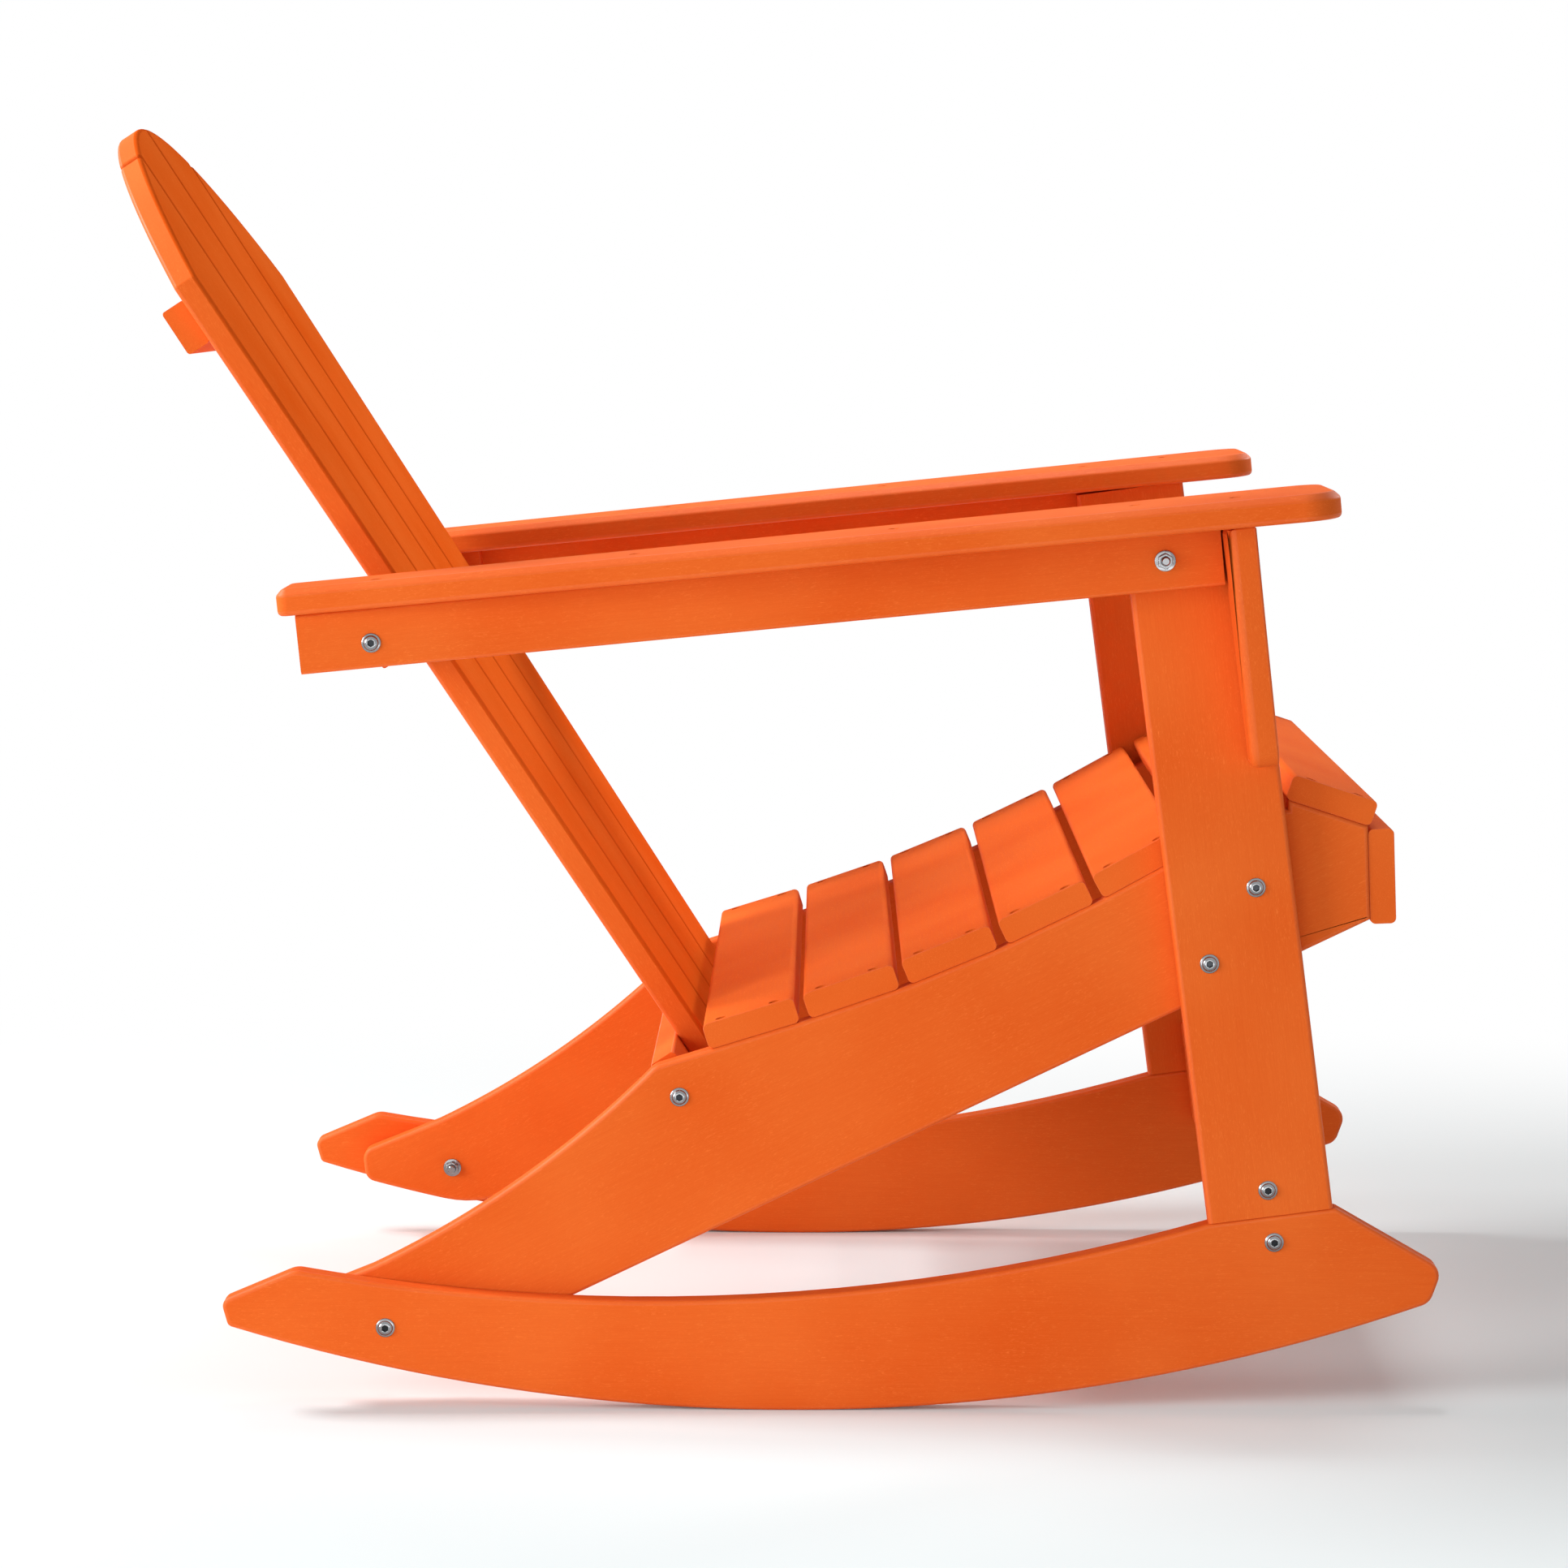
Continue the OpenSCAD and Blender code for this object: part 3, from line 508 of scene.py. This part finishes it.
def hexagon_radius(angle):
    """How far a hexagon's side lies from its centre at an angle, for a flat-to-flat size of 2."""
    return 1.0 / math.cos((angle + math.pi / 6) % (math.pi / 3) - math.pi / 6)


def head_at_origin(bm):
    """The corners of the bolt that is being turned, before it moves to its place."""
    near = 7.2 * MM
    return [v for v in bm.verts if abs(v.co.y) < near and abs(v.co.z) < near]


def bolts(node):
    """Button-head bolts with a domed head and a hexagon socket, in the places of the CAD ones."""
    source = cad_copy(node)
    bm = bmesh.new()
    # A face layer for the painted shade in the sockets.
    painted_shade = bm.faces.layers.float.new("painted_shade")
    for group in edge_groups(source.edges):
        spots = [corner.co for edge in group for corner in edge.verts]
        low = [min(s[i] for s in spots) for i in range(3)]
        high = [max(s[i] for s in spots) for i in range(3)]
        y, z = (low[1] + high[1]) / 2, (low[2] + high[2]) / 2
        wide = [s.x for s in spots if math.hypot(s.y - y, s.z - z) > 6.5 * MM]
        out = 1.0 if sum(wide) / len(wide) > (low[0] + high[0]) / 2 else -1.0
        head_top = high[0] if out > 0 else low[0]
        length = (high[0] - low[0]) / MM - HEAD[-1][0]
        profile = ((-length, 2.3), (0.7 - length, 3.0)) + HEAD
        line = [bm.verts.new((d * MM, 0.0, r * MM)) for d, r in profile]
        wire = [bm.edges.new(pair) for pair in zip(line, line[1:])]
        bmesh.ops.spin(
            bm, geom=line + wire, cent=(0.0, 0.0, 0.0), axis=(1.0, 0.0, 0.0), dvec=(0.0, 0.0, 0.0),
            angle=math.tau, steps=48, use_merge=True,
        )
        loose = head_at_origin(bm)
        rim = list(dict.fromkeys(
            e for v in loose for e in v.link_edges
            if e.is_boundary and all(abs(c.co.x - HEAD[-1][0] * MM) < 0.01 * MM for c in e.verts)
        ))
        # The rim narrows to a hexagon and drops to the socket's floor.
        for depth, size in ((0.0, 1.16), (0.25, 1.0), (2.0, 1.0)):
            step = bmesh.ops.extrude_edge_only(bm, edges=rim)["geom"]
            # The socket's sloping mouth and walls get painted shade.
            for face in step:
                if isinstance(face, bmesh.types.BMFace):
                    face[painted_shade] = 1.0 if depth else 0.0
            rim = [g for g in step if isinstance(g, bmesh.types.BMEdge)]
            for corner in {c for e in rim for c in e.verts}:
                angle = math.atan2(corner.co.z, corner.co.y)
                radius = size * SOCKET_AF / 2 * MM * hexagon_radius(angle)
                corner.co = (
                    (HEAD[-1][0] - depth) * MM, radius * math.cos(angle), radius * math.sin(angle)
                )
            rim = [e for e in rim if e.is_boundary]
        loose = head_at_origin(bm)
        open_edges = list(dict.fromkeys(e for v in loose for e in v.link_edges if e.is_boundary))
        bmesh.ops.holes_fill(bm, edges=open_edges, sides=0)
        for corner in loose:
            depth = HEAD[-1][0] * MM - corner.co.x
            corner.co = (head_top - out * depth, corner.co.y + y, corner.co.z + z)
    source.free()
    finish_steel(bm, node, "_forged")


def eased_steel(node, ease, flanks):
    """Nuts and washers from their CAD shapes, with every edge eased and painted shade on the
    flanks.
    """
    bm = cad_copy(node)
    join_flat_faces(bm)
    bm.normal_update()
    sharp = [edge for edge in bm.edges if turns_sharply(edge)]
    round_over(bm, sharp, ease, 2, keep_apart=True)
    painted_shade = bm.faces.layers.float.new("painted_shade")
    bm.normal_update()
    # Faces that look sideways, the nuts' flanks, get painted shade.
    for face in bm.faces:
        if flanks and abs(face.normal.x) < 0.5:
            face[painted_shade] = flanks
    finish_steel(bm, node, "_eased")


for node in (
    "rocker_bolts", "leg_rail_bolts", "leg_splice_bolts", "lower_support_bolts",
    "rear_arm_bolts", "front_arm_bolts",
):
    bolts(node)
eased_steel("frame_nuts", 0.5, 0.6)
eased_steel("frame_washers", 0.25, 0.0)
SCREWS = ("seat_screws", "apron_screws", "back_screws", "arm_screws", "bracket_screws")
for node in SCREWS + ("support_inserts",):
    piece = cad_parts[node]
    piece.data.materials.clear()
    piece.data.materials.append(BRASS if node == "support_inserts" else STEEL)


# Studio: pale floor, soft key from behind the chair, wide fill on the camera's side


def sees_backdrop(tree):
    """Rays that show the white backdrop: the camera's, and reflected and transmitted ones."""
    rays = add(tree, "ShaderNodeLightPath")
    first = add(
        tree, "ShaderNodeMath", {"operation": "MAXIMUM"},
        links={0: (rays, "Is Camera Ray"), 1: (rays, "Is Glossy Ray")},
    )
    return add(
        tree, "ShaderNodeMath", {"operation": "MAXIMUM"},
        links={0: (first, "Value"), 1: (rays, "Is Transmission Ray")},
    )


def add_floor():
    bm = bmesh.new()
    bmesh.ops.create_grid(bm, x_segments=1, y_segments=1, size=30.0)
    mesh = bpy.data.meshes.new("floor")
    bm.to_mesh(mesh)
    bm.free()
    floor = bpy.data.objects.new("floor", mesh)
    bpy.context.scene.collection.objects.link(floor)
    material, tree = new_material("studio_floor")
    place = add(tree, "ShaderNodeTexCoord")
    centred = add(
        tree, "ShaderNodeMapping", {"vector_type": "TEXTURE"},
        {"Location": (-0.1, 0.1, 0.0), "Scale": (1.6, 3.0, 1.0)},
        {"Vector": (place, "Object")},
    )
    distance = add(
        tree, "ShaderNodeVectorMath", {"operation": "LENGTH"},
        links={0: (centred, "Vector")},
    )
    far = add(
        tree, "ShaderNodeMapRange", {"interpolation_type": "SMOOTHSTEP"},
        {"From Min": 0.25, "From Max": 0.95, "To Min": 0.0, "To Max": 1.0},
        {"Value": (distance, "Value")},
    )
    paint = add(
        tree, "ShaderNodeBsdfDiffuse", None, {"Color": srgb("#F0F8F9"), "Roughness": 0.5}
    )
    white = add(tree, "ShaderNodeEmission", None, {"Color": WHITE, "Strength": 1.0})
    rays = sees_backdrop(tree)
    amount = add(
        tree, "ShaderNodeMath", {"operation": "MULTIPLY"},
        links={0: (far, "Result"), 1: (rays, "Value")},
    )
    mix = add(
        tree, "ShaderNodeMixShader", None, None,
        {0: (amount, "Value"), 1: (paint, "BSDF"), 2: (white, "Emission")},
    )
    add(tree, "ShaderNodeOutputMaterial", links={"Surface": (mix, "Shader")})
    mesh.materials.append(material)


def add_world():
    world = bpy.data.worlds.new("studio")
    world.use_nodes = True
    bpy.context.scene.world = world
    tree = world.node_tree
    tree.nodes.clear()
    rays = sees_backdrop(tree)
    ambient = add(
        tree, "ShaderNodeBackground", None, {"Color": WHITE, "Strength": 0.30}
    )
    backdrop = add(tree, "ShaderNodeBackground", None, {"Color": WHITE, "Strength": 1.0})
    mix = add(
        tree, "ShaderNodeMixShader", None, None,
        {0: (rays, "Value"), 1: (ambient, "Background"), 2: (backdrop, "Background")},
    )
    add(tree, "ShaderNodeOutputWorld", links={"Surface": (mix, "Shader")})


def add_softbox(name, at, aim, size, power, grid=180):
    """A softbox; the grid is the angle in degrees that its light is kept to."""
    data = bpy.data.lights.new(name, "AREA")
    data.spread = math.radians(grid)
    data.shape = "RECTANGLE"
    data.size, data.size_y = size
    data.energy = power
    lamp = bpy.data.objects.new(name, data)
    bpy.context.scene.collection.objects.link(lamp)
    lamp.location = at
    lamp.rotation_euler = (Vector(aim) - Vector(at)).to_track_quat("-Z", "Y").to_euler()


add_camera()
add_floor()
add_world()
add_softbox("key_softbox", (0.4, 2.7, 2.5), (0.0, 0.0, 0.3), (1.0, 1.0), 96.0)
add_softbox("top_softbox", (0.1, -0.1, 3.2), (0.1, -0.1, 0.4), (0.7, 0.7), 1.1, 24)
add_softbox("front_softbox", (2.3, -2.6, 2.2), (0.0, 0.3, 0.82), (1.2, 1.2), 4.3, 36)
add_softbox("wall_softbox", (-2.1, 3.4, 1.3), (0.0, 0.1, 0.4), (1.8, 1.6), 92.0)
add_softbox("low_fill", (-3.6, 0.6, 0.6), (0.0, 0.0, 0.25), (3.2, 1.1), 13.0)
add_softbox("floor_fill", (-1.6, -0.2, 0.14), (0.0, -0.12, 0.25), (1.5, 0.2), 2.8)

bpy.context.scene.view_settings.view_transform = "Standard"
